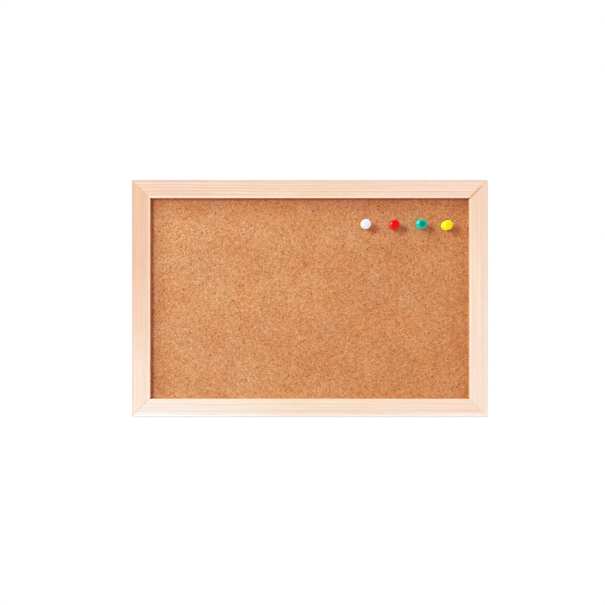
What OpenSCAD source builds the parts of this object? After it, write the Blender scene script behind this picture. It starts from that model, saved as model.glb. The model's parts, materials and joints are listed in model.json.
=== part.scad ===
// Small framed cork board with four push pins and two D-ring wall hangers.
//
// +X is to the right as the board is read, +Z is up and the cork faces -Y.
// The origin is the middle of the board, in the plane of the wall that the rubber bumpers rest on.

/* [Board] */
// Width over the frame
board_w = 300; // [240:10:600]
// Height over the frame
board_h = 200; // [160:10:400]

/* [Frame] */
// Width of the moulding as seen from the front
rail_w = 15.2; // [15:0.1:24]
// How far the cork lies behind the front of the frame
recess_d = 4.5; // [3:0.5:8]
// How far the rabbet runs in behind the lip
rabbet_w = 6; // [4:0.5:6]
// Depth of rabbet left behind the back panel
back_margin = 1.5; // [1:0.5:5]
// Rounding of the long edges
arris_r = 0.8; // [0.4:0.1:1.5]
// Rounding of the four outer corners
corner_r = 1.2; // [0.5:0.1:3]

/* [Panels] */
// Thickness of the cork sheet
cork_t = 3; // [2:0.5:6]
// Thickness of the soft fibreboard behind the cork
core_t = 5; // [4:0.5:12]
// Thickness of the hardboard back
hardboard_t = 2; // [1.5:0.5:4]
// Gap between a panel's edge and the rabbet
panel_gap = 0.5; // [0.2:0.1:1]

/* [Push pins] */
// From the board's right edge to each pin: white, red, green, yellow
pin_from_right = [103, 79, 56.5, 35]; // [25:0.5:200]
// From the board's top edge to each pin
pin_from_top = [37, 38, 37.2, 38.4]; // [25:0.1:120]
// How far each head leans to the right, in degrees
pin_lean_right = [0, -1, 1, 2]; // [-6:1:6]
// How far each head leans down, in degrees
pin_lean_down = [5, 1, 3, 1]; // [-6:1:6]
// Length of a moulded head
head_len = 10; // [9:0.5:14]
// Radius of the cap and of the flange
cap_r = 4.1; // [3.8:0.1:5]
// Radius of the steel needle
needle_r = 0.55; // [0.4:0.05:0.7]
// Gap between the flange and the cork
pin_standoff = 1.2; // [0.5:0.1:3]

/* [Wall hangers] */
// From the board's top edge to the axis of the D-rings
hanger_drop = 32; // [28:1:60]
// Radius of the D-ring's wire
wire_r = 0.8; // [0.6:0.1:0.8]
// How far a hanging ring stands off the strap, in degrees
ring_tilt = 5; // [4:0.5:6]
// Diameter of a rubber bumper
bumper_d = 8; // [6:0.5:8]
// Height of a rubber bumper
bumper_h = 3.5; // [3.5:0.5:6]

/* [Hidden] */
$fn = 64;

// Extra length of a cutting shape past the surface that it cuts
over = 1;

// Depths, from the wall towards the room
back_y = -bumper_h;
hardboard_y = back_y - back_margin;
core_y = hardboard_y - hardboard_t;
cork_back_y = core_y - core_t;
cork_y = cork_back_y - cork_t;
front_y = cork_y - recess_d;
rail_d = back_y - front_y;

// Back face of the moulding beside the rabbet, and the panels' outline
land_w = rail_w - rabbet_w;
panel_w = board_w - 2 * (land_w + panel_gap);
panel_h = board_h - 2 * (land_w + panel_gap);

// Flat steel points that hold the panels in
point_t = 0.6;
point_w = 5;
point_len = 12;
point_bite = 3;
point_tip = 2;
points_along = 3;
points_up = 2;

// Folded steel nails across the mitres
nail_t = 0.6;
nail_leg = 4.6;
nail_curl_r = 0.5;
nail_depth = 8;
nail_from_edge = 2.6;

// Push pins
pin_colors = ["white", "red", "lightseagreen", "yellow"];
flange_edge_r = 0.75;
flange_t = 2 * flange_edge_r;
waist_r = 2.3;
waist_fillet_r = cap_r - flange_edge_r - waist_r - 0.05;
waist_top_r = 2.8;
cap_t = 2.7;
cap_shoulder_r = 2;
cap_lip_r = 0.5;
needle_grip = 6.5;
needle_point = 2.2;
needle_point_r = 0.08;
needle_clear = 0.05;
needle_short = 1;
hole_below_tip = 0.4;
needle_out = pin_standoff + cork_t + core_t - needle_short;

// Wall hangers
strap_t = 0.7;
strap_neck_w = 4.6;
strap_neck_len = 5;
strap_tail_r = 3.7;
strap_screw_drop = 12;
eye_clear = 0.06;
eye_lift = 0.05;
eye_seam = 0.25;
eye_bore_r = wire_r + eye_clear;
eye_r = eye_bore_r + strap_t;
eye_y = back_y + eye_lift + eye_r;
ring_half_w = 3.7;
ring_leg = 4.5;
ring_bend_r = 1.2;
hanger_x = board_w / 2 - land_w / 2;
hanger_z = board_h / 2 - hanger_drop;
screw_r = 1.1;
screw_len = 10;
screw_point = 2.5;
screw_head_r = 2.5;
screw_slot_w = 0.6;
screw_slot_len = 3;
screw_slot_d = 0.7;

// Rubber bumpers
bumper_from_end = 22;
bumper_edge_r = 1;

// Points on an arc about c, from angle a0 to angle a1
function arc(c, r, a0, a1, steps = 8) =
    [for (i = [0 : steps]) let (a = a0 + (a1 - a0) * i / steps) c + r * [cos(a), sin(a)]];

// Rectangle from the origin with four rounded corners, kept as true arcs
module rounded_rect(size, r) {
    translate([r, 0]) square([size.x - 2 * r, size.y]);
    translate([0, r]) square([size.x, size.y - 2 * r]);
    for (x = [r, size.x - r], y = [r, size.y - r]) translate([x, y]) circle(r);
}

// Stands an outline drawn in X and Z up, from depth y towards the wall
module upright(y, depth) {
    translate([0, y + depth, 0]) rotate([90, 0, 0]) linear_extrude(depth) children();
}

// Repeats its children at all four corners
module four_corners() {
    for (i = [0, 1], k = [0, 1]) mirror([i, 0, 0]) mirror([0, 0, k]) children();
}

// ---- Frame ----

// Section of the moulding: X runs in from the outer edge, Y runs forward from the back
module rail_section() {
    difference() {
        rounded_rect([rail_w, rail_d], arris_r);
        translate([land_w, -over]) square([rabbet_w + over, rail_d - recess_d + over]);
    }
}

// Rail along X whose outer edge is at z = span / 2, mitred at both ends
module rail(len, span) {
    intersection() {
        translate([0, back_y, span / 2]) rotate([180, 90, 0])
            linear_extrude(len, center = true) rail_section();
        upright(front_y - over, rail_d + 2 * over) polygon([
            [-len / 2, span / 2], [len / 2, span / 2],
            [len / 2 - span / 2, 0], [span / 2 - len / 2, 0]
        ]);
    }
}

// Everything that is cut out of the four rails
module frame_cuts() {
    backing_points_solid();
    v_nails_solid();
    for (side = [-1, 1]) at_hanger(side) screw_solid();
}

// Rounds the frame's outer corners and makes the cuts in a rail
module finished_rail() {
    difference() {
        intersection() {
            children();
            upright(front_y - over, rail_d + 2 * over)
                translate([-board_w / 2, -board_h / 2]) rounded_rect([board_w, board_h], corner_r);
        }
        frame_cuts();
    }
}

module top_rail() {
    color("wheat") finished_rail() rail(board_w, board_h);
}

module bottom_rail() {
    color("wheat") finished_rail() mirror([0, 0, 1]) rail(board_w, board_h);
}

module left_stile() {
    color("bisque") finished_rail() rotate([0, -90, 0]) rail(board_h, board_w);
}

module right_stile() {
    color("bisque") finished_rail() rotate([0, 90, 0]) rail(board_h, board_w);
}

// ---- Panels ----

module panel(y, t) {
    upright(y, t) square([panel_w, panel_h], center = true);
}

module cork_sheet() {
    color("peru") difference() {
        panel(cork_y, cork_t);
        needle_holes();
    }
}

module fibreboard_core() {
    color("tan") difference() {
        panel(cork_back_y, core_t);
        needle_holes();
    }
}

module hardboard_back() {
    color("saddlebrown") panel(core_y, hardboard_t);
}

// ---- Points and nails ----

// Flat point lying on the hardboard, driven into the wall of the rabbet towards +Z
module backing_point() {
    bite_w = point_w / 2;
    upright(hardboard_y, point_t) polygon([
        [-bite_w, point_bite - point_len], [bite_w, point_bite - point_len],
        [bite_w, point_bite - point_tip], [0, point_bite], [-bite_w, point_bite - point_tip]
    ]);
}

// Points at even spaces along two opposite sides of the rabbet
module points_row(count, len, span) {
    pitch = len / count;
    for (side = [0, 180], i = [0 : count - 1])
        rotate([0, side, 0])
            translate([(i + 0.5) * pitch - len / 2, 0, span / 2 - land_w]) backing_point();
}

module backing_points_solid() {
    points_row(points_along, panel_w, board_h);
    rotate([0, 90, 0]) points_row(points_up, panel_h, board_w);
}

module backing_points() {
    color("silver") backing_points_solid();
}

// Nail folded to a right angle, one leg in the rail and one in the stile
module v_nail() {
    upright(back_y - nail_depth, nail_depth)
        translate([board_w / 2 - nail_from_edge, board_h / 2 - nail_from_edge])
            rotate(180) {
                square([nail_leg, nail_t]);
                square([nail_t, nail_leg]);
                translate([nail_leg, nail_t / 2]) circle(nail_curl_r);
                translate([nail_t / 2, nail_leg]) circle(nail_curl_r);
            }
}

module v_nails_solid() {
    four_corners() v_nail();
}

module corner_v_nails() {
    color("slategray") v_nails_solid();
}

// ---- Push pins ----

// Puts a pin, drawn along +Z from the cork's face, in its place with its lean
module at_pin(i) {
    translate([board_w / 2 - pin_from_right[i], cork_y, board_h / 2 - pin_from_top[i]])
        rotate([90, 0, 0]) rotate([pin_lean_down[i], pin_lean_right[i], 0]) children();
}

// Half outline of a head: flange, waist, cap with a wide rounded shoulder
module head_outline() {
    waist_x = waist_r + waist_fillet_r;
    cap_z = head_len - cap_t;
    polygon(concat(
        [[0, 0]],
        arc([cap_r - flange_edge_r, flange_edge_r], flange_edge_r, -90, 90),
        arc([waist_x, flange_t + waist_fillet_r], waist_fillet_r, 270, 180),
        [[waist_top_r, cap_z - waist_fillet_r]],
        arc([cap_r - cap_lip_r, cap_z + cap_lip_r], cap_lip_r, -60, 0),
        arc([cap_r - cap_shoulder_r, head_len - cap_shoulder_r], cap_shoulder_r, 0, 90),
        [[0, head_len]]
    ));
}

module pin_head(i) {
    color(pin_colors[i]) at_pin(i) translate([0, 0, pin_standoff]) difference() {
        rotate_extrude() head_outline();
        translate([0, 0, -over]) cylinder(h = needle_grip + over, r = needle_r);
    }
}

module pin_needle(i) {
    tip_z = pin_standoff - needle_out;
    color("silver") at_pin(i) {
        translate([0, 0, tip_z]) cylinder(h = needle_point, r1 = needle_point_r, r2 = needle_r);
        translate([0, 0, tip_z + needle_point])
            cylinder(h = needle_out + needle_grip - needle_point, r = needle_r);
    }
}

// The holes that the needles have made in the cork and the core
module needle_holes() {
    depth = needle_out - pin_standoff + hole_below_tip;
    for (i = [0 : len(pin_colors) - 1])
        at_pin(i) translate([0, 0, -depth]) cylinder(h = depth + over, r = needle_r + needle_clear);
}

module white_pin_head() pin_head(0);
module white_pin_needle() pin_needle(0);
module red_pin_head() pin_head(1);
module red_pin_needle() pin_needle(1);
module green_pin_head() pin_head(2);
module green_pin_needle() pin_needle(2);
module yellow_pin_head() pin_head(3);
module yellow_pin_needle() pin_needle(3);

// ---- Wall hangers ----

// Puts a hanger, drawn about the ring's axis along X, on the left (-1) or right (1) stile
module at_hanger(side) {
    translate([side * hanger_x, eye_y, hanger_z]) children();
}

// Flat of the strap, from the eye down to the round tail; its slanted sides are tangent to the tail
module strap_outline() {
    run = strap_screw_drop - strap_neck_len;
    reach = sqrt(run * run + pow(strap_neck_w / 2, 2));
    turn = acos(strap_tail_r / reach) - atan2(strap_neck_w / 2, run);
    touch = strap_tail_r * [sin(turn), cos(turn)] - [0, strap_screw_drop];
    translate([0, -strap_screw_drop]) circle(strap_tail_r);
    polygon([
        [-strap_neck_w / 2, 0], [-strap_neck_w / 2, -strap_neck_len], [-touch.x, touch.y],
        [0, -strap_screw_drop],
        [touch.x, touch.y], [strap_neck_w / 2, -strap_neck_len], [strap_neck_w / 2, 0]
    ]);
}

module hanger_strap(side) {
    wood_y = -eye_r - eye_lift;
    color("goldenrod") at_hanger(side) difference() {
        union() {
            rotate([0, 90, 0]) cylinder(h = strap_neck_w, r = eye_r, center = true);
            upright(wood_y, strap_t) strap_outline();
        }
        rotate([0, 90, 0]) cylinder(h = strap_neck_w + 2 * over, r = eye_bore_r, center = true);
        translate([-strap_neck_w, wood_y + strap_t, -eye_r - over])
            cube([2 * strap_neck_w, eye_seam, eye_r + over]);
        screw_solid();
    }
}

// Quarter of the wire's bend, from the bar round to a leg
module ring_corner() {
    translate([ring_half_w - ring_bend_r, 0, -ring_bend_r]) rotate([90, 0, 0])
        rotate_extrude(angle = 90) translate([ring_bend_r, 0]) circle(wire_r);
}

module hanger_ring(side) {
    bar = 2 * (ring_half_w - ring_bend_r);
    color("goldenrod") at_hanger(side) rotate([ring_tilt, 0, 0]) {
        rotate([0, 90, 0]) cylinder(h = bar, r = wire_r, center = true);
        for (i = [0, 1]) mirror([i, 0, 0]) {
            ring_corner();
            translate([ring_half_w, 0, -ring_leg]) cylinder(h = ring_leg - ring_bend_r, r = wire_r);
        }
        translate([0, 0, -ring_leg]) rotate([-90, 0, 0])
            rotate_extrude(angle = 180) translate([ring_half_w, 0]) circle(wire_r);
    }
}

// Countersunk screw: its flat head lies flush with the back of the strap
module screw_solid() {
    head_h = screw_head_r - screw_r;
    translate([0, strap_t - eye_r - eye_lift, -strap_screw_drop]) rotate([90, 0, 0]) {
        cylinder(h = head_h, r1 = screw_head_r, r2 = screw_r);
        translate([0, 0, head_h]) cylinder(h = screw_len - head_h - screw_point, r = screw_r);
        translate([0, 0, screw_len - screw_point])
            cylinder(h = screw_point, r1 = screw_r, r2 = needle_point_r);
    }
}

module hanger_screw(side) {
    color("gold") at_hanger(side) difference() {
        screw_solid();
        translate([0, strap_t - eye_r - eye_lift, -strap_screw_drop]) for (turn = [45, 135])
            rotate([0, turn, 0])
                cube([screw_slot_len, 2 * screw_slot_d, screw_slot_w], center = true);
    }
}

module left_hanger_strap() hanger_strap(-1);
module right_hanger_strap() hanger_strap(1);
module left_hanger_ring() hanger_ring(-1);
module right_hanger_ring() hanger_ring(1);
module left_hanger_screw() hanger_screw(-1);
module right_hanger_screw() hanger_screw(1);

// ---- Rubber bumpers ----

// Half outline of a bumper: a flat pad with a rounded rim on the wall's side
module bumper_outline() {
    r = bumper_d / 2;
    polygon(concat(
        [[0, 0], [r, 0]],
        arc([r - bumper_edge_r, bumper_h - bumper_edge_r], bumper_edge_r, 0, 90),
        [[0, bumper_h]]
    ));
}

module wall_bumpers() {
    color("dimgray") four_corners()
        translate([board_w / 2 - bumper_from_end, back_y, board_h / 2 - land_w / 2])
            rotate([-90, 0, 0]) rotate_extrude() bumper_outline();
}

top_rail();
bottom_rail();
left_stile();
right_stile();
cork_sheet();
fibreboard_core();
hardboard_back();
backing_points();
corner_v_nails();
white_pin_head();
white_pin_needle();
red_pin_head();
red_pin_needle();
green_pin_head();
green_pin_needle();
yellow_pin_head();
yellow_pin_needle();
left_hanger_strap();
right_hanger_strap();
left_hanger_ring();
right_hanger_ring();
left_hanger_screw();
right_hanger_screw();
wall_bumpers();
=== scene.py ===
"""Looks of the framed cork board: mitred pine frame, pressed cork, four push pins and the back's fittings.

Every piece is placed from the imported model's own boxes, in metres, in the same frame:
X to the right, Z up, the cork faces -Y and the wall is the plane y = 0.
"""

import json
import math

import bmesh
import bpy
import numpy as np
from mathutils import Matrix, Vector


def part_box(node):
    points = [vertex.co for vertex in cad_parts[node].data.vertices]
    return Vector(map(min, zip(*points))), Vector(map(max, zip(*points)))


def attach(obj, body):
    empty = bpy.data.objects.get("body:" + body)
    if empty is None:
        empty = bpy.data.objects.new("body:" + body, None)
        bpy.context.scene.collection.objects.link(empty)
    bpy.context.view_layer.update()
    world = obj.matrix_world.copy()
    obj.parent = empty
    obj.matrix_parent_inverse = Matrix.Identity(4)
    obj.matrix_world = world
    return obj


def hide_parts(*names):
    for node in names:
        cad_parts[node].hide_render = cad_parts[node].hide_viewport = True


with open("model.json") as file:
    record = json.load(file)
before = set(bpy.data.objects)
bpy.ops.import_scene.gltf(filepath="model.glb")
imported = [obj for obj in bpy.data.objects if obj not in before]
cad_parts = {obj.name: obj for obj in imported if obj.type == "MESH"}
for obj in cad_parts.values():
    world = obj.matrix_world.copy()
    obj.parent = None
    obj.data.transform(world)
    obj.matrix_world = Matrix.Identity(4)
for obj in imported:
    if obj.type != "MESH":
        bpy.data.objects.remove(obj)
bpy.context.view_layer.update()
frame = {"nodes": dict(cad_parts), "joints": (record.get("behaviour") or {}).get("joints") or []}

MM = 0.001
RNG = np.random.default_rng(20)
PINS = ("white", "red", "green", "yellow")

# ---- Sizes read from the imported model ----

TOP_LO, TOP_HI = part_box("top_rail")
BOTTOM_LO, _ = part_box("bottom_rail")
LEFT_LO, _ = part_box("left_stile")
_, RIGHT_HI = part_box("right_stile")
CORK_LO, CORK_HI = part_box("cork_sheet")

BOARD_W = RIGHT_HI.x - LEFT_LO.x
BOARD_H = TOP_HI.z - BOTTOM_LO.z
RAIL_W = TOP_HI.z - TOP_LO.z
FRONT_Y = TOP_LO.y
RAIL_D = TOP_HI.y - TOP_LO.y
RECESS = CORK_LO.y - FRONT_Y

# Half the opening that shows the cork, across and up
SIGHT_X = BOARD_W / 2 - RAIL_W
SIGHT_Z = BOARD_H / 2 - RAIL_W

# The panels stop this far short of the rabbet's walls, behind which a rail is LAND_W wide
PANEL_GAP = 0.5 * MM
LAND_W = BOARD_W / 2 - CORK_HI.x - PANEL_GAP

# ---- Sizes of the looks ----

# Roundings: a rail's long edges, the frame's outer corners, and the front and back edge of the lip
ARRIS_R = 0.8 * MM
CORNER_R = 1.2 * MM
SIGHT_R = 0.4 * MM
LIP_BREAK_R = 0.3 * MM

# Easing of a mitred end: its depth on a tight joint and on an open one, and its length along the rail
TIGHT_MITRE = 0.10 * MM
LOOSE_MITRE = 0.26 * MM
EASED_LEN = 0.5 * MM

# A rail's mesh: the spacing of its sections, and the longest edge in one
SECTION_STEP = 2.5 * MM
SECTION_EDGE = 1.3 * MM

# Cork's surface, in millimetres: spacing of its points, then height and size of granules, lumps and waves
CORK_CELL_MM = 0.75
CORK_WAVES = ((0.024, 0.9), (0.010, 4.0), (0.020, 30.0))

# Lost granules: size, how rare they are, in standard deviations, and depth
PIT_SIZE_MM = 1.0
PIT_RARITY = 2.3
PIT_DEPTH = 0.14 * MM

# How far the surface lies back from the sheet's front plane, in the open and behind the lip, and how far any
# point may stand out from that plane
OPEN_BACK = 0.03 * MM
COVERED_BACK = 0.02 * MM
CORK_RISE_MAX = 0.05 * MM

# Hole round a needle: its radius and depth, and how far its rim is pushed up
HOLE_R = 0.62 * MM
HOLE_DEPTH = 2.2 * MM
HOLE_RIM_RISE = 0.03 * MM

# Threads of the screen that the hardboard was pressed on
SCREEN_PITCH_MM = 1.35

# A pin's head, in millimetres
HEAD_LEN = 10
HEAD_R = 4.1

# ---- Colours and finishes ----

# Pine: tint of its summer growth, its resin pores, painted highlight on its inner front edge, painted
# bounce light on the lip's wall over the cork, and glue in a mitre
LATEWOOD = (0.80, 0.56, 0.40)
PORE = (0.45, 0.24, 0.13)
EDGE_HIGHLIGHT_TINT = (0.96, 0.85, 0.70)
WALL_BOUNCE_TINT = (0.98, 0.79, 0.53)
GLUE_STAIN = (0.60, 0.15, 0.022)

# One row for each stick of pine. stops are its tones from its left or lower end, at 0, to the other, at 1.
PINE_LOOKS = {
    "top": {
        "stops": [
            (0.1, (0.75, 0.525, 0.43)), (0.3, (0.80, 0.60, 0.485)), (0.5, (0.83, 0.62, 0.495)),
            (0.9, (0.895, 0.72, 0.60)),
        ],
        "ring_mm": 2.2, "ring_depth": 0.66, "pith": (20, 30), "slope": 0.004, "wander_mm": 1.3,
        "seed": 3, "edge_highlight": 0.65, "rim_light_gain": (0.86, 0.78, 0.78), "rim_mm": 1.3,
    },
    "bottom": {
        "stops": [
            (0.1, (0.845, 0.735, 0.67)), (0.3, (0.865, 0.74, 0.64)), (0.46, (0.88, 0.71, 0.57)),
            (0.6, (0.90, 0.735, 0.60)), (0.9, (0.95, 0.785, 0.65)),
        ],
        "ring_mm": 2.3, "ring_depth": 0.38, "pith": (-190, 25), "slope": -0.003, "wander_mm": 1.2,
        "seed": 8, "edge_highlight": 0.15, "rim_light_gain": (1.04, 1.23, 1.42), "rim_mm": 4.8,
    },
    "left": {
        "stops": [
            (0.0, (0.85, 0.70, 0.60)), (0.15, (0.825, 0.66, 0.555)), (0.43, (0.765, 0.525, 0.41)),
            (0.7, (0.72, 0.435, 0.305)), (1.0, (0.685, 0.405, 0.28)),
        ],
        "ring_mm": 1.1, "ring_depth": 0.22, "pith": (-80, 12), "slope": 0.003, "wander_mm": 0.8,
        "seed": 14, "edge_highlight": 0.65, "rim_light_gain": (0.85, 0.77, 0.74), "rim_mm": 1.7,
    },
    "right": {
        "stops": [
            (0.0, (0.935, 0.805, 0.68)), (0.43, (0.93, 0.77, 0.64)), (0.57, (0.915, 0.735, 0.60)),
            (1.0, (0.87, 0.645, 0.485)),
        ],
        "ring_mm": 1.2, "ring_depth": 0.20, "pith": (210, 16), "slope": -0.004, "wander_mm": 0.8,
        "seed": 21, "edge_highlight": 0.25, "rim_light_gain": (1.03, 1.18, 1.35), "rim_mm": 1.9,
    },
}

# One row for each pin: its colours from the middle of its head to its rim, which paint a reflection, darker
# in the middle and paler at the rim, the places of the first two as a share of the head's radius, and the
# tint of its highlights.
PIN_LOOKS = {
    "white": {
        "core": (0.80, 0.78, 0.84), "ring": (0.86, 0.84, 0.90), "rim": (0.92, 0.90, 0.94),
        "core_share": 0.45, "ring_share": 0.75, "gloss": (0.7, 0.7, 0.7, 1),
    },
    "red": {
        "core": (0.74, 0.0, 0.0), "ring": (0.84, 0.0, 0.0), "rim": (0.90, 0.03, 0.008),
        "core_share": 0.42, "ring_share": 0.72, "gloss": (1, 0.2, 0.3, 1),
    },
    "green": {
        "core": (0.0, 0.20, 0.16), "ring": (0.0, 0.50, 0.37), "rim": (0.0, 0.62, 0.47),
        "core_share": 0.40, "ring_share": 0.70, "gloss": (0.2, 1, 1, 1),
    },
    "yellow": {
        "core": (0.88, 0.78, 0.0), "ring": (0.94, 0.89, 0.0), "rim": (0.95, 0.92, 0.03),
        "core_share": 0.42, "ring_share": 0.72, "gloss": (1, 1, 0.2, 1),
    },
}

# One row for each metal: its clean and its tarnished colour, its roughness, and the size of its marks. A
# stretch under 1 draws the marks out along that axis.
METALS = {
    "nail_steel": {
        "color": (0.42, 0.43, 0.46), "dark": (0.20, 0.20, 0.22),
        "rough": 0.36, "grain_mm": 0.25, "seed": 3,
    },
    "point_steel": {
        "color": (0.55, 0.55, 0.56), "dark": (0.30, 0.30, 0.31),
        "rough": 0.30, "grain_mm": 0.35, "seed": 9, "stretch": (0.2, 1, 1),
    },
    "strap_brass": {
        "color": (0.80, 0.60, 0.27), "dark": (0.50, 0.34, 0.13),
        "rough": 0.26, "grain_mm": 0.45, "seed": 5,
    },
    "ring_brass": {
        "color": (0.83, 0.64, 0.31), "dark": (0.52, 0.36, 0.15),
        "rough": 0.20, "grain_mm": 0.30, "seed": 11,
    },
    "screw_brass": {
        "color": (0.76, 0.57, 0.26), "dark": (0.42, 0.29, 0.12),
        "rough": 0.28, "grain_mm": 0.25, "seed": 17,
    },
    "needle_steel": {
        "color": (0.72, 0.72, 0.73), "dark": (0.50, 0.50, 0.52),
        "rough": 0.14, "grain_mm": 0.20, "seed": 23,
    },
}

# ---- Camera, lights and floor ----

# The camera looks along +Y. Its axis meets the board a little left of and below the board's middle.
LENS_MM = 42.37
SENSOR_MM = 36
CAMERA_GAP = 600 * MM
CAMERA_X = -6.24 * MM
CAMERA_Z = -3.37 * MM

# Disks of light: place and diameter in metres, power in watts
KEY = {"location": (-0.625, -0.865, 0.368), "size": 0.42, "power": 10.6, "color": (0.70, 1.0, 0.97)}
BACK_FILL = {"location": (0.9, 1.5, 0.9), "size": 0.8, "power": 7.0, "color": (1.0, 0.99, 0.97)}

# Light from all round, as it comes from in front of the board and from behind it. One turns into the other
# between these two values of a direction's y.
FRONT_AMBIENT = (0.70, 0.51, 0.52)
BACK_AMBIENT = (0.80, 0.80, 0.80)
AMBIENT_TURN = (-0.15, 0.40)

# The floor's height and its edges, in metres, and where it starts to fade, in millimetres
FLOOR_Z = -0.36
FLOOR_NEAR, FLOOR_FAR, FLOOR_HALF = -1.9, 0.15, 1.9
FADE_NEAR, FADE_FAR, FADE_SIDE = -900.0, -260.0, 500.0


# ---- Node helpers ----

class Shader:
    """One node material, built by small calls that return output sockets."""

    def __init__(self, name):
        self.material = bpy.data.materials.new(name)
        self.material.use_nodes = True
        self.tree = self.material.node_tree
        self.tree.nodes.clear()
        self.output = self.tree.nodes.new("ShaderNodeOutputMaterial")
        self.bsdf = self.tree.nodes.new("ShaderNodeBsdfPrincipled")
        self.tree.links.new(self.bsdf.outputs["BSDF"], self.output.inputs["Surface"])
        self.object_mm = None

    def node(self, kind, inputs=(), **settings):
        """A new node. inputs are by name or number; settings are its other properties."""
        made = self.tree.nodes.new(kind)
        for key, value in settings.items():
            setattr(made, key, value)
        for socket, value in dict(inputs).items():
            self.feed(made.inputs[socket], value)
        return made

    def feed(self, socket, value):
        """Links another node's output to the socket, or sets its value."""
        if isinstance(value, bpy.types.NodeSocket):
            self.tree.links.new(value, socket)
        else:
            socket.default_value = value

    def set(self, **values):
        """Principled inputs by name, with _ for a space. A number stays on the shader's own socket."""
        for key, value in values.items():
            self.feed(self.bsdf.inputs[key.replace("_", " ")], value)

    def coords(self):
        """Object coordinates in millimetres."""
        if self.object_mm is None:
            found = self.node("ShaderNodeTexCoord").outputs["Object"]
            self.object_mm = self.scaled(found, (1000, 1000, 1000))
        return self.object_mm

    def scaled(self, vector, factors):
        made = self.node("ShaderNodeVectorMath", {0: vector, 1: factors}, operation="MULTIPLY")
        return made.outputs["Vector"]

    def moved(self, vector, offset):
        made = self.node("ShaderNodeVectorMath", {0: vector, 1: offset}, operation="ADD")
        return made.outputs["Vector"]

    def split(self, vector):
        made = self.node("ShaderNodeSeparateXYZ", {0: vector})
        return made.outputs[0], made.outputs[1], made.outputs[2]

    def join(self, x, y, z):
        return self.node("ShaderNodeCombineXYZ", {0: x, 1: y, 2: z}).outputs[0]

    def length(self, vector):
        return self.node("ShaderNodeVectorMath", {0: vector}, operation="LENGTH").outputs["Value"]

    def math(self, operation, *values):
        return self.node("ShaderNodeMath", dict(enumerate(values)), operation=operation).outputs[0]

    def noise(self, vector, size, detail=2.0, roughness=0.5, distortion=0.0):
        """Noise whose features are about size millimetres across."""
        inputs = {
            "Vector": vector,
            "Scale": 1 / size,
            "Detail": detail,
            "Roughness": roughness,
            "Distortion": distortion,
        }
        return self.node("ShaderNodeTexNoise", inputs).outputs

    def cells(self, vector, size, feature="F1"):
        """Cells about size millimetres across."""
        inputs = {"Vector": vector, "Scale": 1 / size}
        return self.node("ShaderNodeTexVoronoi", inputs, feature=feature).outputs

    def remap(self, value, low, high, to_low=0.0, to_high=1.0, smooth=False):
        """The value's place between low and high, carried over to to_low and to_high, and held there."""
        kind = "SMOOTHSTEP" if smooth else "LINEAR"
        inputs = {0: value, 1: low, 2: high, 3: to_low, 4: to_high}
        return self.node("ShaderNodeMapRange", inputs, interpolation_type=kind).outputs[0]

    def ramp(self, value, stops, kind="LINEAR"):
        """Colour along stops, each a place from 0 to 1 and a colour."""
        made = self.node("ShaderNodeValToRGB", {0: value})
        made.color_ramp.interpolation = kind
        points = made.color_ramp.elements
        while len(points) < len(stops):
            points.new(0.5)
        for point, (place, color) in zip(points, stops):
            point.position = place
            point.color = (*color, 1)
        return made.outputs[0]

    def mix(self, factor, a, b, blend="MIX"):
        made = self.node("ShaderNodeMix", data_type="RGBA", blend_type=blend)
        sockets = [s for s in made.inputs if s.type == "RGBA"]
        self.feed(made.inputs[0], factor)
        self.feed(sockets[0], a if isinstance(a, bpy.types.NodeSocket) else (*a, 1))
        self.feed(sockets[1], b if isinstance(b, bpy.types.NodeSocket) else (*b, 1))
        return [s for s in made.outputs if s.type == "RGBA"][0]

    def attribute(self, name):
        """A number that the mesh holds at each of its points."""
        return self.node("ShaderNodeAttribute", attribute_name=name).outputs["Fac"]

    def bump(self, height, depth_mm):
        inputs = {"Height": height, "Distance": depth_mm * MM}
        return self.node("ShaderNodeBump", inputs).outputs[0]


# ---- Materials ----

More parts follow.
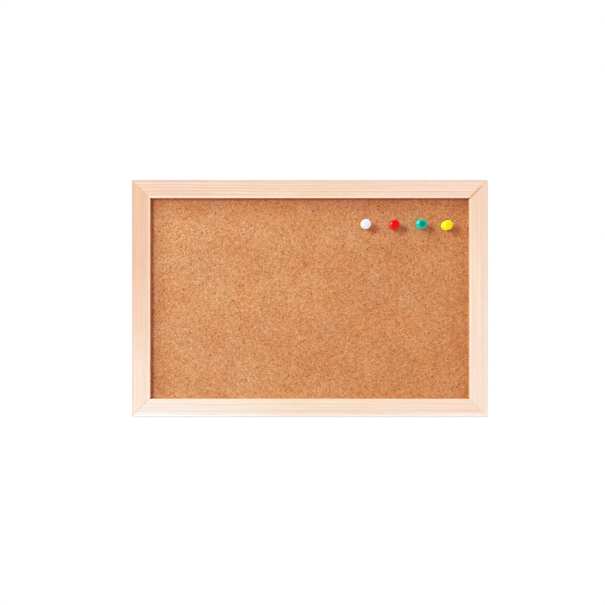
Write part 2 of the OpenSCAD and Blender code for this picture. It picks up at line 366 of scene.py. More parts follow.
def pine(name, along_x, stops, ring_mm, ring_depth, pith, slope, wander_mm, seed, edge_highlight, rim_light_gain, rim_mm):
    """Planed pine with growth rings, fibres and resin pores.

    The rings stand ring_mm apart round pith, a point (across the rail, y) in millimetres, and ring_depth is
    how dark they are. slope and wander_mm turn and bend them along the rail. sanded is the strength of the
    painted highlight on the inner front edge, and the outer edge is multiplied by rim_light_gain, which
    paints light or shade on it, as far in as rim_mm. The lip's inner wall is painted paler, as if lit from
    the cork.
    """
    s = Shader(name)
    x, y, z = s.split(s.coords())
    along, across = (x, z) if along_x else (z, x)
    half_along, half_across = BOARD_W / 2 / MM, BOARD_H / 2 / MM
    if not along_x:
        half_along, half_across = half_across, half_along

    bent = bent_across(s, along, across, slope, wander_mm, seed)
    late = growth_rings(s, bent, y, ring_mm, pith, seed)
    grain_at = s.join(s.math("MULTIPLY", along, 0.035), bent, s.math("ADD", y, seed * 3.1))
    fibre = s.noise(grain_at, 0.42, 3.0, 0.6)[0]
    streak = s.noise(grain_at, 2.6, 2.0, 0.55)[0]
    cloud = s.noise(s.moved(s.coords(), (seed * 7.0, 0, 0)), 34, 2.0)[0]
    pore = resin_pores(s, s.join(s.math("MULTIPLY", along, 0.16), bent, y))

    tone = s.ramp(s.remap(along, -half_along, half_along), stops, "EASE")
    patchy = s.remap(cloud, 0.3, 0.7, 0.55, 1.25)
    ring_share = s.math("MULTIPLY", s.math("MULTIPLY", late, ring_depth), patchy)
    color = s.mix(ring_share, tone, LATEWOOD, "MULTIPLY")
    light = s.math(
        "ADD", s.remap(fibre, 0.25, 0.75, -0.045, 0.045), s.remap(streak, 0.25, 0.75, -0.05, 0.05)
    )
    light = s.math("ADD", light, s.remap(cloud, 0.25, 0.75, -0.02, 0.02))
    gain = s.math("ADD", light, 1.0)
    warm_gain = s.join(gain, s.math("POWER", gain, 1.35), s.math("POWER", gain, 1.7))
    color = s.mix(1.0, color, warm_gain, "MULTIPLY")
    color = s.mix(s.math("MULTIPLY", pore, 0.28), color, PORE)
    # Painted highlight along the inner front edge
    color = s.mix(s.math("MULTIPLY", s.attribute("edge"), edge_highlight), color, EDGE_HIGHLIGHT_TINT)

    from_outer = s.math("SUBTRACT", half_across, s.math("ABSOLUTE", across))
    # Painted bounce light: the lip's inner wall over the cork is painted paler, as if lit from the cork
    wall = s.remap(from_outer, RAIL_W / MM - 0.5, RAIL_W / MM - 0.1, 0.0, 0.8)
    color = s.mix(wall, color, WALL_BOUNCE_TINT)
    # Painted light and shade at the outer front edge, by rim_light_gain: darker at top and left, paler at
    # bottom and right
    rim_light = s.remap(from_outer, 0.3, rim_mm, 1.0, 0.0, smooth=True)
    rim_light = s.math("MULTIPLY", rim_light, s.remap(y, FRONT_Y / MM + 0.5, FRONT_Y / MM + 2.5, 1.0, 0.0))
    rim_light = s.math("MULTIPLY", rim_light, s.remap(fibre, 0.25, 0.75, 0.75, 1.0))
    color = s.mix(rim_light, color, rim_light_gain, "MULTIPLY")
    color = s.mix(s.attribute("joint"), color, GLUE_STAIN)

    rough = s.math("ADD", s.remap(fibre, 0.2, 0.8, 0.50, 0.62), s.math("MULTIPLY", late, -0.06))
    relief = s.math("ADD", s.math("MULTIPLY", late, 0.55), s.math("MULTIPLY", fibre, 0.9))
    relief = s.math("SUBTRACT", relief, s.math("MULTIPLY", pore, 0.8))
    s.set(Base_Color=color, Roughness=rough, Normal=s.bump(relief, 0.030))
    s.set(Specular_IOR_Level=0.35)
    return s.material


def bent_across(s, along, across, slope, wander_mm, seed):
    """Place across the grain of a log that grew at a slope and not quite straight."""
    drift_at = s.join(s.math("MULTIPLY", along, 0.010), s.math("MULTIPLY", across, 0.016), seed)
    drift = s.math("MULTIPLY", s.math("SUBTRACT", s.noise(drift_at, 1, 1.5)[0], 0.5), 2 * wander_mm)
    return s.math("ADD", s.math("ADD", across, drift), s.math("MULTIPLY", along, slope))


def growth_rings(s, bent, y, ring_mm, pith, seed):
    """Share of dark summer growth: it rises slowly through each ring and ends sharply."""
    radius = s.length(s.join(s.math("SUBTRACT", bent, pith[0]), s.math("SUBTRACT", y, pith[1]), 0.0))
    uneven_at = s.join(s.math("MULTIPLY", radius, 0.22), seed * 1.7, 0.0)
    uneven = s.math("MULTIPLY", s.noise(uneven_at, 1, 1.0)[0], 1.6)
    phase = s.math("FRACT", s.math("ADD", s.math("DIVIDE", radius, ring_mm), uneven))
    return s.ramp(phase, [
        (0.0, (0.25,) * 3), (0.12, (0.05,) * 3), (0.45, (0.16,) * 3),
        (0.78, (0.85,) * 3), (0.90, (1.0,) * 3), (1.0, (0.25,) * 3),
    ], "B_SPLINE")


def resin_pores(s, at):
    """Short dark pores, which only some stretches of the wood have."""
    pore = s.remap(s.cells(at, 0.85)["Distance"], 0.10, 0.20, 1.0, 0.0)
    rare = s.remap(s.noise(at, 1.9, 0.0)[0], 0.56, 0.66)
    return s.math("MULTIPLY", pore, rare)


def cork():
    """Pressed cork: granules of several sizes, darker bark specks and soft blotches."""
    s = Shader("cork")
    at = s.coords()
    bend = s.moved(s.noise(at, 1.6, 2.0)["Color"], (-0.5, -0.5, -0.5))
    at_bent = s.moved(at, s.scaled(bend, (1.3, 1.3, 1.3)))

    coarse_mm, fine_mm = 1.15, 0.70
    coarse = s.cells(at_bent, coarse_mm)
    fine = s.cells(at_bent, fine_mm)
    seam = s.cells(at_bent, coarse_mm, "DISTANCE_TO_EDGE")["Distance"]
    seam = s.remap(seam, 0.02, 0.16, 1.0, 0.0, smooth=True)
    coarse_tone = s.split(coarse["Color"])
    fine_tone = s.split(fine["Color"])
    tone = s.math("ADD", s.math("MULTIPLY", coarse_tone[0], 0.42), s.math("MULTIPLY", fine_tone[0], 0.58))
    color = s.ramp(tone, [
        (0.10, (0.440, 0.139, 0.045)), (0.36, (0.575, 0.225, 0.079)),
        (0.62, (0.673, 0.308, 0.129)), (0.92, (0.768, 0.423, 0.212)),
    ])
    color = s.mix(s.math("MULTIPLY", seam, 0.26), color, (0.42, 0.16, 0.06))
    bark = specks(s, s.moved(at_bent, (31, 7, 13)), 1.9, (0.25, 0.38), 0, (0.89, 0.92))
    color = s.mix(s.math("MULTIPLY", bark, 0.90), color, (0.235, 0.055, 0.030))
    pale = specks(s, s.moved(at_bent, (-17, 3, 41)), 1.8, (0.20, 0.36), 1, (0.86, 0.92))
    color = s.mix(s.math("MULTIPLY", pale, 0.60), color, (0.88, 0.52, 0.28))

    grit = s.noise(at, 0.30, 3.0, 0.65)[0]
    blotch = s.noise(s.moved(at, (90, 0, 5)), 30, 1.5, 0.4)[0]
    small_blotch = s.noise(s.moved(at, (0, 40, 0)), 11, 1.0, 0.5)[0]
    redder = s.noise(s.moved(at, (0, -70, 22)), 19, 2.0, 0.5)[0]
    gain = s.math("ADD", s.remap(grit, 0.2, 0.8, 0.90, 1.10), s.remap(blotch, 0.25, 0.75, -0.035, 0.035))
    gain = s.math("ADD", gain, s.remap(small_blotch, 0.25, 0.75, -0.018, 0.018))
    # Painted shade near the frame's top, left and right edges
    gain = s.math("MULTIPLY", gain, painted_edge_shade(s, at))
    # Painted light falloff: paler and yellower on the left, nearer the key light, darker and redder on the
    # right
    key_falloff = s.remap(s.split(at)[0], -SIGHT_X / MM, SIGHT_X / MM, 1.0, -1.0)
    warm = s.math("ADD", s.remap(key_falloff, -1, 1, 0.955, 1.045), s.remap(redder, 0.25, 0.75, -0.085, 0.085))
    green = s.math("MULTIPLY", s.math("POWER", gain, 1.9), warm)
    blue = s.math("MULTIPLY", s.math("POWER", gain, 1.9), s.math("POWER", warm, 2.2))
    color = s.mix(1.0, color, s.join(gain, green, blue), "MULTIPLY")
    # Painted shade in the hollows of lost granules and at the bottom of each needle hole
    color = s.mix(s.math("MULTIPLY", s.attribute("pit_shade"), 0.50), color, (0.26, 0.07, 0.03))

    relief = s.math("ADD", s.math("MULTIPLY", coarse_tone[1], 0.5), s.math("MULTIPLY", grit, 0.5))
    relief = s.math("SUBTRACT", relief, s.math("MULTIPLY", seam, 0.55))
    s.set(Base_Color=color, Roughness=s.remap(grit, 0.2, 0.8, 0.78, 0.94), Normal=s.bump(relief, 0.07))
    s.set(Specular_IOR_Level=0.22)
    return s.material


def specks(s, at, size, edge, channel, chosen):
    """Round specks in the cells whose tone in one channel is past chosen. edge is where a speck ends."""
    found = s.cells(at, size)
    has_one = s.remap(s.split(found["Color"])[channel], *chosen)
    return s.math("MULTIPLY", s.remap(found["Distance"], *edge, 1.0, 0.0), has_one)


def painted_edge_shade(s, at):
    """Share of light kept under a painted shade that darkens the cork near the top, left and right edges of
    the opening.
    """
    x, _, z = s.split(at)
    stray = s.remap(s.noise(at, 12, 2.0)[0], 0.25, 0.75, -2.0, 2.0)
    # Depth of the painted shade, reach in millimetres, and distance, from the top, left and right edges
    borders = (
        (0.21, 20.0, s.math("SUBTRACT", SIGHT_Z / MM, z)),
        (0.14, 20.0, s.math("ADD", x, SIGHT_X / MM)),
        (0.07, 18.0, s.math("SUBTRACT", SIGHT_X / MM, x)),
    )
    keep = 1.0
    for depth, reach, gap in borders:
        near = s.remap(s.math("ADD", gap, stray), 0.0, reach, 1.0, 0.0, smooth=True)
        keep = s.math("MULTIPLY", keep, s.math("SUBTRACT", 1.0, s.math("MULTIPLY", near, depth)))
    return keep


def moulded(name, core, ring, rim, core_share, ring_share, gloss):
    """Glossy moulded plastic with a painted reflection: deeper in colour at the middle, paler towards the
    edge.
    """
    s = Shader(name)
    at = s.coords()
    x, y, _ = s.split(at)
    swirl = s.noise(at, 2.2, 2.0)[0]
    radius = s.math("ADD", s.length(s.join(x, y, 0.0)), s.remap(swirl, 0.3, 0.7, -0.10, 0.10))
    # Painted reflection: darker in the middle of the head, paler towards its rim
    color = s.ramp(s.math("DIVIDE", radius, HEAD_R), [
        (0.0, core), (core_share, core), (ring_share, ring), (1.0, rim),
    ], "EASE")
    cloud = s.remap(s.noise(at, 1.4, 2.0)[0], 0.25, 0.75, 0.97, 1.03)
    color = s.mix(1.0, color, s.join(cloud, cloud, cloud), "MULTIPLY")
    s.set(Base_Color=color, Roughness=s.remap(s.noise(at, 0.6, 3.0)[0], 0.3, 0.7, 0.10, 0.18))
    s.set(Normal=s.bump(s.noise(at, 1.1, 2.0)[0], 0.010))
    s.set(Subsurface_Weight=0.08, Subsurface_Radius=(0.8 * MM,) * 3, Subsurface_Scale=1.0)
    s.set(Specular_IOR_Level=0.9, IOR=1.5, Specular_Tint=gloss)
    return s.material


def metal(name, color, dark, rough, grain_mm, seed, stretch=(1, 1, 1)):
    """Worked metal: fine drawn or stamped marks, faint tarnish in clouds. seed moves both along."""
    s = Shader(name)
    at = s.moved(s.coords(), (seed, 0, 0))
    marks = s.noise(s.scaled(at, stretch), grain_mm, 3.0, 0.6)[0]
    cloud = s.noise(at, 2.4, 3.0, 0.6)[0]
    tint = s.mix(s.remap(cloud, 0.42, 0.72), color, dark)
    tint = s.mix(s.remap(marks, 0.3, 0.7, 0.0, 0.22), tint, dark)
    worked = s.remap(marks, 0.25, 0.75, rough - 0.07, rough + 0.10)
    dulled = s.math("ADD", worked, s.remap(cloud, 0.4, 0.7, 0.0, 0.08))
    s.set(Base_Color=tint, Metallic=1.0, Roughness=dulled, Normal=s.bump(marks, 0.010))
    return s.material


def hardboard():
    """Hardboard's screen side: brown fibres, a faint woven print and pale flecks."""
    s = Shader("hardboard")
    at = s.coords()
    x, y, z = s.split(at)
    warp = s.remap(s.noise(at, 8, 2.0)[0], 0.2, 0.8, -0.5, 0.5)
    turn = 2 * math.pi / SCREEN_PITCH_MM
    weave_x = s.math("SINE", s.math("MULTIPLY", s.math("ADD", x, warp), turn))
    weave_z = s.math("SINE", s.math("MULTIPLY", s.math("ADD", z, warp), turn))
    weave = s.math("MULTIPLY", weave_x, weave_z)
    fibre_at = s.moved(at, s.scaled(s.noise(at, 5, 2.0)["Color"], (4, 4, 4)))
    fibre = s.noise(s.scaled(fibre_at, (0.35, 1, 1.6)), 0.7, 4.0, 0.7)[0]
    fleck = s.remap(s.cells(s.scaled(fibre_at, (0.4, 1, 1)), 1.6)["Distance"], 0.05, 0.16, 1.0, 0.0)
    cloud = s.noise(at, 42, 3.0, 0.55)[0]
    color = s.ramp(fibre, [
        (0.28, (0.165, 0.085, 0.042)), (0.52, (0.285, 0.165, 0.088)), (0.76, (0.400, 0.255, 0.150)),
    ])
    color = s.mix(s.math("MULTIPLY", fleck, 0.38), color, (0.55, 0.40, 0.26))
    gain = s.math("ADD", s.remap(cloud, 0.3, 0.7, 0.88, 1.12), s.math("MULTIPLY", weave, 0.035))
    color = s.mix(1.0, color, s.join(gain, gain, gain), "MULTIPLY")
    relief = s.math("ADD", s.math("MULTIPLY", weave, 0.30), fibre)
    s.set(Base_Color=color, Roughness=s.remap(fibre, 0.3, 0.7, 0.58, 0.76), Normal=s.bump(relief, 0.10))
    s.set(Specular_IOR_Level=0.3)
    return s.material


def fibreboard():
    """Soft insulating board: loose pale fibres."""
    s = Shader("fibreboard")
    at = s.coords()
    fibre = s.noise(s.scaled(at, (0.5, 1, 1)), 0.8, 4.0, 0.7, 0.8)[0]
    color = s.ramp(fibre, [
        (0.25, (0.34, 0.25, 0.15)), (0.55, (0.56, 0.45, 0.31)), (0.8, (0.70, 0.60, 0.46)),
    ])
    s.set(Base_Color=color, Roughness=s.remap(fibre, 0.3, 0.7, 0.85, 0.97), Normal=s.bump(fibre, 0.15))
    return s.material


def rubber():
    """Matt moulded rubber with dust and a fine cast grain."""
    s = Shader("bumper_rubber")
    at = s.coords()
    grain = s.noise(at, 0.25, 3.0, 0.6)[0]
    dust = s.remap(s.noise(at, 1.8, 3.0, 0.6)[0], 0.45, 0.75)
    color = s.mix(s.math("MULTIPLY", dust, 0.35), (0.030, 0.029, 0.028), (0.12, 0.11, 0.10))
    s.set(Base_Color=color, Roughness=s.remap(grain, 0.3, 0.7, 0.55, 0.75), Normal=s.bump(grain, 0.02))
    return s.material


# ---- Mesh helpers ----

def new_piece(name, mesh, material, body, replaced, origin=None, sharp_deg=35):
    """Links a mesh as one piece on its body. Its faces are smooth except across sharp edges."""
    piece = bpy.data.objects.new(name, mesh)
    bpy.context.scene.collection.objects.link(piece)
    if origin is not None:
        piece.matrix_world = origin
    mesh.materials.append(material)
    mesh.shade_smooth()
    mesh.set_sharp_from_angle(angle=math.radians(sharp_deg))
    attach(piece, body)
    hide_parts(*replaced)


def arc_points(centre, radius, start_deg, end_deg, steps):
    """Points along an arc, both of its ends included."""
    angles = np.radians(np.linspace(start_deg, end_deg, steps + 1))
    return [(centre[0] + radius * math.cos(a), centre[1] + radius * math.sin(a)) for a in angles]


def subdivided(loop, longest):
    """A closed loop with extra points, so that no edge is longer than longest."""
    result = []
    for here, after in zip(loop, loop[1:] + loop[:1]):
        parts = max(1, math.ceil(math.dist(here, after) / longest - 1e-6))
        for i in range(parts):
            t = i / parts
            result.append((here[0] + (after[0] - here[0]) * t, here[1] + (after[1] - here[1]) * t))
    return result


def inset_loop(loop, distance):
    """An anticlockwise loop's points, moved inwards along the mean normal of their two edges."""
    moved = []
    for before, here, after in zip(loop[-1:] + loop[:-1], loop, loop[1:] + loop[:1]):
        normal = Vector((0, 0))
        for a, b in ((before, here), (here, after)):
            edge = Vector((b[0] - a[0], b[1] - a[1])).normalized()
            normal += Vector((-edge.y, edge.x))
        normal.normalize()
        moved.append((here[0] + normal.x * distance, here[1] + normal.y * distance))
    return moved


# ---- Frame rails ----

def moulding_loop():
    """Section of the moulding, anticlockwise: u runs in from the outer edge, v back from the front."""
    steps = 6
    r, back_r = ARRIS_R, LIP_BREAK_R
    loop = arc_points((r, r), r, 180, 270, steps)
    loop += arc_points((RAIL_W - SIGHT_R, SIGHT_R), SIGHT_R, 270, 360, steps)
    loop += arc_points((RAIL_W - back_r, RECESS - back_r), back_r, 0, 90, steps // 2)
    loop += [(LAND_W, RECESS), (LAND_W, RAIL_D)]
    loop += arc_points((r, RAIL_D - r), r, 90, 180, steps)
    return subdivided(loop, SECTION_EDGE)


def edge_highlight_share(u, v):
    """How far a point of the section takes the painted highlight, which lies along its inner front edge."""
    reach = 1.5 * ARRIS_R
    near_edge = 1 - math.hypot(RAIL_W - u, v) / reach
    return min(1.0, max(0.0, 2 * near_edge))


def joint_stain(u, gap):
    """How far glue and dirt darken an open mitre; it closes towards the outer corner."""
    open_share = min(1.0, max(0.0, (u / RAIL_W - 0.12) / 0.4))
    return open_share * min(1.0, (gap / LOOSE_MITRE) ** 2)


def rail(name, length, place, material, gaps):
    """Mitred rail. place turns (along, u, v) into the board's frame; gaps is the easing of its two ends."""
    loop = moulding_loop()
    ease_share = 2 * EASED_LEN / length
    inner = list(np.linspace(-1, 1, round(length / SECTION_STEP) + 1)[1:-1])
    # Sections from end to end: place as a share of half the length, points, and share of the joint's stain
    low_end = [(-1, inset_loop(loop, gaps[0]), 1.0), (-1 + ease_share, loop, 0.25)]
    high_end = [(1 - ease_share, loop, 0.25), (1, inset_loop(loop, gaps[1]), 1.0)]
    sections = low_end + [(t, loop, 0.0) for t in inner] + high_end

    maker = bmesh.new()
    # Per point: share of the painted highlight on the inner front edge, and of the glue stain in a mitre
    highlight_layer = maker.verts.layers.float.new("edge")
    stain = maker.verts.layers.float.new("joint")
    rows = []
    for t, points, stain_share in sections:
        row = []
        for (u, v), (u0, v0) in zip(points, loop):
            vert = maker.verts.new(place(t * (length / 2 - u), u, v))
            vert[highlight_layer] = edge_highlight_share(u0, v0)
            vert[stain] = stain_share * joint_stain(u0, gaps[0] if t < 0 else gaps[1])
            row.append(vert)
        rows.append(row)
    join_rows(maker, rows)
    round_corners(maker, length, place)
    bmesh.ops.recalc_face_normals(maker, faces=maker.faces)
    mesh = bpy.data.meshes.new(name)
    maker.to_mesh(mesh)
    maker.free()
    new_piece(name + "_wood", mesh, material, "board", [name])


def join_rows(maker, rows):
    """Closes a solid round its sections, each a closed loop with the same number of points."""
    for row, following in zip(rows, rows[1:]):
        for i in range(len(row)):
            j = (i + 1) % len(row)
            maker.faces.new((row[i], row[j], following[j], following[i]))
    maker.faces.new(rows[0])
    maker.faces.new(rows[-1][::-1])


def round_corners(maker, length, place):
    """Cuts the frame's rounded outer corner from both ends of a rail, by planes that touch the rounding."""
    for end in (-1, 1):
        centre = (end * (length / 2 - CORNER_R), CORNER_R)
        for angle in (78, 66, 54):
            a = math.radians(angle)
            touch = (centre[0] + end * CORNER_R * math.cos(a), centre[1] - CORNER_R * math.sin(a))
            point = Vector(place(touch[0], touch[1], 0))
            beyond = Vector(place(touch[0] + end * math.cos(a), touch[1] - math.sin(a), 0))
            everything = maker.verts[:] + maker.edges[:] + maker.faces[:]
            bmesh.ops.bisect_plane(
                maker, geom=everything, dist=1e-7,
                plane_co=point, plane_no=(beyond - point).normalized(), clear_outer=True,
            )
            open_edges = [e for e in maker.edges if e.is_boundary]
            bmesh.ops.holes_fill(maker, edges=open_edges, sides=0)


def make_frame():
    """Two rails and two stiles. The top right mitre has opened a little; the other three are tight."""
    half_w, half_h = BOARD_W / 2, BOARD_H / 2
    tight, loose = TIGHT_MITRE, LOOSE_MITRE
    top = pine("pine_top", True, **PINE_LOOKS["top"])
    bottom = pine("pine_bottom", True, **PINE_LOOKS["bottom"])
    left = pine("pine_left", False, **PINE_LOOKS["left"])
    right = pine("pine_right", False, **PINE_LOOKS["right"])
    rail("top_rail", BOARD_W, lambda s, u, v: (s, FRONT_Y + v, half_h - u), top, (tight, loose))
    rail("bottom_rail", BOARD_W, lambda s, u, v: (s, FRONT_Y + v, u - half_h), bottom, (tight, tight))
    rail("left_stile", BOARD_H, lambda s, u, v: (u - half_w, FRONT_Y + v, s), left, (tight, tight))
    rail("right_stile", BOARD_H, lambda s, u, v: (half_w - u, FRONT_Y + v, s), right, (tight, loose))


# ---- Cork sheet ----

def filtered_noise(shape, size_mm):
    """Seeded noise with features about size_mm across, scaled to a standard deviation of 1."""
    spectrum = np.fft.rfft2(RNG.standard_normal(shape))
    fz = np.fft.fftfreq(shape[0], CORK_CELL_MM)[:, None]
    fx = np.fft.rfftfreq(shape[1], CORK_CELL_MM)[None, :]
    spectrum *= np.exp(-((fx**2 + fz**2) * size_mm**2) * 2.0)
    field = np.fft.irfft2(spectrum, s=shape)
    return (field - field.mean()) / field.std()


def cork_relief(gx, gz):
    """How far each point of the cork stands out towards the front, and how deep a hollow it is, from 0 to 1,
    which is also how much painted shade it takes.

    Behind the frame's lip the surface is flat, and it turns into the open one over 2 mm.
    """
    rise = sum(height * filtered_noise(gx.shape, size) for height, size in CORK_WAVES) * MM
    pits = np.clip(filtered_noise(gx.shape, PIT_SIZE_MM) - PIT_RARITY, 0, 1)
    rise = rise - PIT_DEPTH * pits - OPEN_BACK
    open_share = np.clip(np.minimum(SIGHT_X - np.abs(gx), SIGHT_Z - np.abs(gz)) / (2 * MM), 0, 1)
    rise = rise * open_share - COVERED_BACK * (1 - open_share)
    return np.minimum(rise, CORK_RISE_MAX), pits * open_share


def sink_hole(pin, gx, gy, gz, pit_shade):
    """Moves the cork's nine nearest points to a needle's hole: eight round its rim and one down inside,
    which is also painted as shade.
    """
    base, axis = pin_axis(pin)
    spot = base - axis * ((base.y - CORK_LO.y) / axis.y)
    i = int(np.abs(gx[0] - spot.x).argmin())
    k = int(np.abs(gz[:, 0] - spot.z).argmin())
    for dk in (-1, 0, 1):
        for di in (-1, 0, 1):
            at = (k + dk, i + di)
            away = np.array([di, dk], float)
            away /= max(np.linalg.norm(away), 1)
            gx[at] = spot.x + away[0] * HOLE_R
            gz[at] = spot.z + away[1] * HOLE_R
            gy[at] = CORK_LO.y - HOLE_RIM_RISE
    gy[k, i] = CORK_LO.y + HOLE_DEPTH
    pit_shade[k, i] = 1.0


def make_cork():
    """The sheet as a fine grid of points in front, with flat sides and back."""
    nx = round((CORK_HI.x - CORK_LO.x) / (CORK_CELL_MM * MM))
    nz = round((CORK_HI.z - CORK_LO.z) / (CORK_CELL_MM * MM))
    xs = np.linspace(CORK_LO.x, CORK_HI.x, nx + 1)
    zs = np.linspace(CORK_LO.z, CORK_HI.z, nz + 1)
    gx, gz = np.meshgrid(xs, zs)
    rise, pit_shade = cork_relief(gx, gz)
    gy = CORK_LO.y - rise
    for pin in PINS:
        sink_hole(pin, gx, gy, gz, pit_shade)

    verts = np.stack([gx.ravel(), gy.ravel(), gz.ravel()], 1)
    index = np.arange(len(verts)).reshape(gx.shape)
    quads = np.stack([index[:-1, :-1], index[:-1, 1:], index[1:, 1:], index[1:, :-1]], -1)
    faces = quads.reshape(-1, 4).tolist()
    rim = [*index[0, :-1], *index[:-1, -1], *index[-1, :0:-1], *index[:0:-1, 0]]
    back = verts[rim].copy()
    back[:, 1] = CORK_HI.y
    start, count = len(verts), len(rim)
    for i in range(count):
        j = (i + 1) % count
        faces.append([int(rim[j]), int(rim[i]), start + i, start + j])
    faces.append([start + i for i in range(count)][::-1])
    mesh = bpy.data.meshes.new("cork_granules")
    mesh.from_pydata(np.vstack([verts, back]).tolist(), [], faces)
    dark = mesh.attributes.new("pit_shade", "FLOAT", "POINT")
    dark.data.foreach_set("value", np.concatenate([pit_shade.ravel(), np.zeros(count)]).astype(np.float32))
    mesh.update()
    new_piece("cork_granules", mesh, cork(), "board", ["cork_sheet"], sharp_deg=60)


# ---- Push pins ----

def pin_axis(pin):
    """Base of a pin's head on its axis, and the unit axis out of the board, from the CAD head's points."""
    joint = next(j for j in frame["joints"] if j["name"] == pin + "_pin_pull")
    axis = Vector(joint["axis"]).normalized()
    points = np.array([v.co for v in frame["nodes"][pin + "_pin_head"].data.vertices])
    along = points @ np.array(axis)
    flat = points - np.outer(along, np.array(axis))
    middle = Vector((flat.max(0) + flat.min(0)) / 2)
    return middle + axis * float(along.min()), axis


def head_profile():
    """Half outline of a head from its base to its top, as (radius, height) in millimetres."""
    flange_r, fillet_r, lip_r = 0.75, 1.0, 0.50
    points = [(0.0, 0.0), (1.6, 0.0)]
    points += arc_points((HEAD_R - flange_r, flange_r), flange_r, -90, 90, 14)
    points += arc_points((3.30, 2 * flange_r + fillet_r), fillet_r, 270, 180, 10)
    points += [(2.42, 4.0), (2.62, 5.3), (2.80, 6.3)]
    points += arc_points((HEAD_R - lip_r, 7.80), lip_r, -60, 0, 8)
    return points + crown_profile()


def crown_profile():
    """Cap from its side to its centre: a tight edge, a broad sloping shoulder and a shallow dish."""
    edge_r, shoulder_r = 0.55, 1.7
    top_tilt, low_tilt = 11.0, 30.0
    steps = 16
    low = math.radians(low_tilt)
    run = (HEAD_R - edge_r * (1 - math.sin(low)) - shoulder_r) / steps
    shoulder = [(shoulder_r, HEAD_LEN)]
    for i in range(steps):
        tilt = math.radians(top_tilt + (low_tilt - top_tilt) * (i + 0.5) / steps)
        r, height = shoulder[-1]
        shoulder.append((r + run, height - run * math.tan(tilt)))
    low_r, low_height = shoulder[-1]
    centre = (low_r - edge_r * math.sin(low), low_height - edge_r * math.cos(low))
    points = arc_points(centre, edge_r, 0, 90 - low_tilt, 8)[:-1]
    points += shoulder[::-1]
    dish = ((1.5, 0.005), (1.3, 0.02), (0.95, 0.06), (0.5, 0.09), (0.0, 0.10))
    return points + [(r, HEAD_LEN - depth) for r, depth in dish]


def make_pin(pin):
    """A head's outline turned round its axis, set on the axis of the CAD head."""
    base, axis = pin_axis(pin)
    turns = 96
    verts = []
    rows = []
    for r, h in head_profile():
        if r == 0:
            rows.append([len(verts)] * turns)
            verts.append((0, 0, h * MM))
            continue
        rows.append([len(verts) + i for i in range(turns)])
        for i in range(turns):
            a = 2 * math.pi * i / turns
            verts.append((r * MM * math.cos(a), r * MM * math.sin(a), h * MM))
    faces = []
    for low, high in zip(rows, rows[1:]):
        for i in range(turns):
            j = (i + 1) % turns
            # Where a row is one point at the centre, the quad is a triangle
            faces.append(list(dict.fromkeys([low[i], low[j], high[j], high[i]])))
    mesh = bpy.data.meshes.new(pin + "_head_moulding")
    mesh.from_pydata(verts, [], faces)
    mesh.update()
    origin = Matrix.Translation(base) @ axis.to_track_quat("Z", "Y").to_matrix().to_4x4()
    look = moulded(pin + "_plastic", **PIN_LOOKS[pin])
    new_piece(
        pin + "_head_moulding", mesh, look, pin + "_pin", [pin + "_pin_head"], origin,
        sharp_deg=50,
    )


# ---- Back fittings ----

def make_v_nails():
    """The four corner nails, a hair proud of the wood so that their cut ends show."""
    lo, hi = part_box("corner_v_nails")
    thick, leg, curl = 0.6 * MM, 4.6 * MM, 0.5 * MM
    proud, chamfer, foot = 0.08 * MM, 0.07 * MM, 0.1 * MM
    tip = leg - 0.3 * MM
    outline = [(0.0, 0.0), (leg, 0.0)]
    outline += arc_points((leg, thick / 2), curl, -50, 130, 8)
    outline += [(tip, thick), (thick, thick), (thick, tip)]
    outline += arc_points((thick / 2, leg), curl, -40, 140, 8)
    outline += [(0.0, tip)]
    rim = inset_loop(outline, chamfer)
    levels = (
        (lo.y, rim), (lo.y + foot, outline), (hi.y + proud - chamfer, outline), (hi.y + proud, rim),
    )
    corner_x, corner_z = hi.x, BOARD_H / 2 - (BOARD_W / 2 - hi.x)
    maker = bmesh.new()
    for sx in (-1, 1):
        for sz in (-1, 1):
            join_rows(maker, [
                [maker.verts.new((sx * (corner_x - u), y, sz * (corner_z - w))) for u, w in points]
                for y, points in levels
            ])
    bmesh.ops.recalc_face_normals(maker, faces=maker.faces)
    mesh = bpy.data.meshes.new("v_nail_steel")
    maker.to_mesh(mesh)
    maker.free()
    look = metal("nail_steel", **METALS["nail_steel"])
    new_piece("v_nail_steel", mesh, look, "board", ["corner_v_nails"], sharp_deg=30)


def dress(node, material):
    """Gives a CAD node its material."""
    mesh = frame["nodes"][node].data
    mesh.materials.clear()
    mesh.materials.append(material)


def dress_back():
    """Materials of every node that keeps its CAD shape."""
    dress("hardboard_back", hardboard())
    dress("fibreboard_core", fibreboard())
    dress("wall_bumpers", rubber())
    dress("backing_points", metal("point_steel", **METALS["point_steel"]))
    strap = metal("strap_brass", **METALS["strap_brass"])
    wire = metal("ring_brass", **METALS["ring_brass"])
    screw = metal("screw_brass", **METALS["screw_brass"])
    needle = metal("needle_steel", **METALS["needle_steel"])
    for side in ("left", "right"):
        dress(side + "_hanger_strap", strap)
        dress(side + "_hanger_ring", wire)
        dress(side + "_hanger_screw", screw)
    for pin in PINS:
        dress(pin + "_pin_needle", needle)


# ---- Studio ----

def area_light(name, location, size, power, color):
    """A disk of light that faces the board's middle."""
    data = bpy.data.lights.new(name, "AREA")
    data.shape = "DISK"
    data.size = size
    data.energy = power
    data.color = color
    lamp = bpy.data.objects.new(name, data)
    bpy.context.scene.collection.objects.link(lamp)
    lamp.location = location
    lamp.rotation_euler = (-lamp.location).to_track_quat("-Z", "Y").to_euler()


def make_studio():
    """The camera, two lights, the surround and the floor."""
    scene = bpy.context.scene
    scene.view_settings.view_transform = "Standard"

    camera_data = bpy.data.cameras.new("camera")
    camera_data.lens = LENS_MM
    camera_data.sensor_width = SENSOR_MM
    camera = bpy.data.objects.new("camera", camera_data)
    camera.location = (CAMERA_X, FRONT_Y - CAMERA_GAP, CAMERA_Z)
    camera.rotation_euler = (math.radians(90), 0, 0)
    scene.collection.objects.link(camera)
    scene.camera = camera

    area_light("key", **KEY)
    area_light("back_fill", **BACK_FILL)
    make_world(scene)
    make_floor(scene)


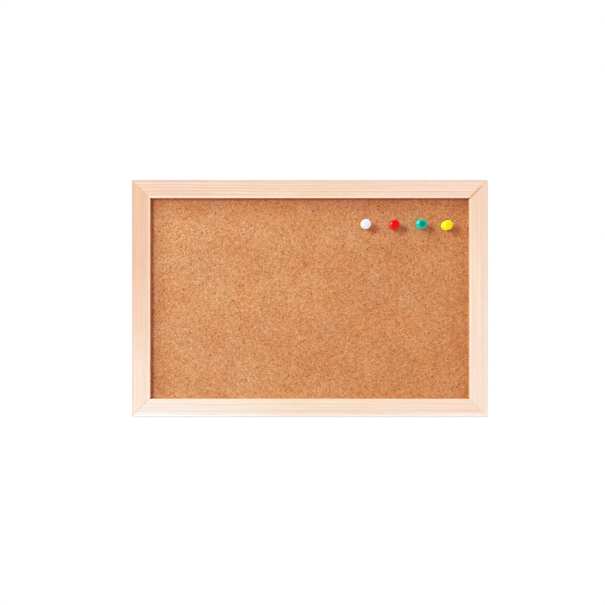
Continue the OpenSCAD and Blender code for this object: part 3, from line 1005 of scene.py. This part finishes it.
def make_world(scene):
    """White to the camera. As light it is dimmer and warmer in front of the board than behind it."""
    world = bpy.data.worlds.new("studio")
    world.use_nodes = True
    scene.world = world
    tree = world.node_tree
    light = tree.nodes["Background"]
    way = tree.nodes.new("ShaderNodeTexCoord")
    parts = tree.nodes.new("ShaderNodeSeparateXYZ")
    share = tree.nodes.new("ShaderNodeMapRange")
    share.inputs[1].default_value, share.inputs[2].default_value = AMBIENT_TURN
    tone = tree.nodes.new("ShaderNodeMix")
    tone.data_type = "RGBA"
    ends = [socket for socket in tone.inputs if socket.type == "RGBA"]
    ends[0].default_value = (*FRONT_AMBIENT, 1)
    ends[1].default_value = (*BACK_AMBIENT, 1)
    result = [socket for socket in tone.outputs if socket.type == "RGBA"][0]
    white = tree.nodes.new("ShaderNodeBackground")
    white.inputs["Color"].default_value = (1, 1, 1, 1)
    path = tree.nodes.new("ShaderNodeLightPath")
    choose = tree.nodes.new("ShaderNodeMixShader")
    link = tree.links.new
    link(way.outputs["Generated"], parts.inputs[0])
    link(parts.outputs[1], share.inputs[0])
    link(share.outputs[0], tone.inputs[0])
    link(result, light.inputs["Color"])
    link(path.outputs["Is Camera Ray"], choose.inputs[0])
    link(light.outputs[0], choose.inputs[1])
    link(white.outputs[0], choose.inputs[2])
    link(choose.outputs[0], tree.nodes["World Output"].inputs["Surface"])


def make_floor(scene):
    """Pale paper sweep well below the board. Towards its edges it glows white, which fades it into the white
    surround.
    """
    corners = [
        (-FLOOR_HALF, FLOOR_NEAR, FLOOR_Z), (FLOOR_HALF, FLOOR_NEAR, FLOOR_Z),
        (FLOOR_HALF, FLOOR_FAR, FLOOR_Z), (-FLOOR_HALF, FLOOR_FAR, FLOOR_Z),
    ]
    mesh = bpy.data.meshes.new("floor")
    mesh.from_pydata(corners, [], [(0, 1, 2, 3)])
    floor = bpy.data.objects.new("floor", mesh)
    scene.collection.objects.link(floor)
    s = Shader("floor_paper")
    at = s.coords()
    x, y, _ = s.split(at)
    tone = s.remap(s.noise(at, 60, 3.0)[0], 0.3, 0.7, 0.88, 0.92)
    s.set(Base_Color=s.join(tone, tone, tone), Roughness=0.9)
    past_far = s.remap(y, FADE_FAR, FLOOR_FAR / MM - 5, smooth=True)
    past_side = s.remap(s.math("ABSOLUTE", x), FADE_SIDE, FLOOR_HALF / MM - 20, smooth=True)
    past_near = s.remap(y, FADE_NEAR, FLOOR_NEAR / MM + 20, smooth=True)
    fade = s.math("MAXIMUM", s.math("MAXIMUM", past_far, past_side), past_near)
    # Painted glow: the floor glows white towards its edges
    glow = s.node("ShaderNodeEmission", {"Strength": 1.0})
    blend = s.node("ShaderNodeMixShader", {0: fade, 1: s.bsdf.outputs[0], 2: glow.outputs[0]})
    s.tree.links.new(blend.outputs[0], s.output.inputs["Surface"])
    mesh.materials.append(s.material)
    floor.visible_diffuse = False
    floor.visible_glossy = False


make_studio()
make_frame()
make_cork()
for pin_name in PINS:
    make_pin(pin_name)
make_v_nails()
dress_back()
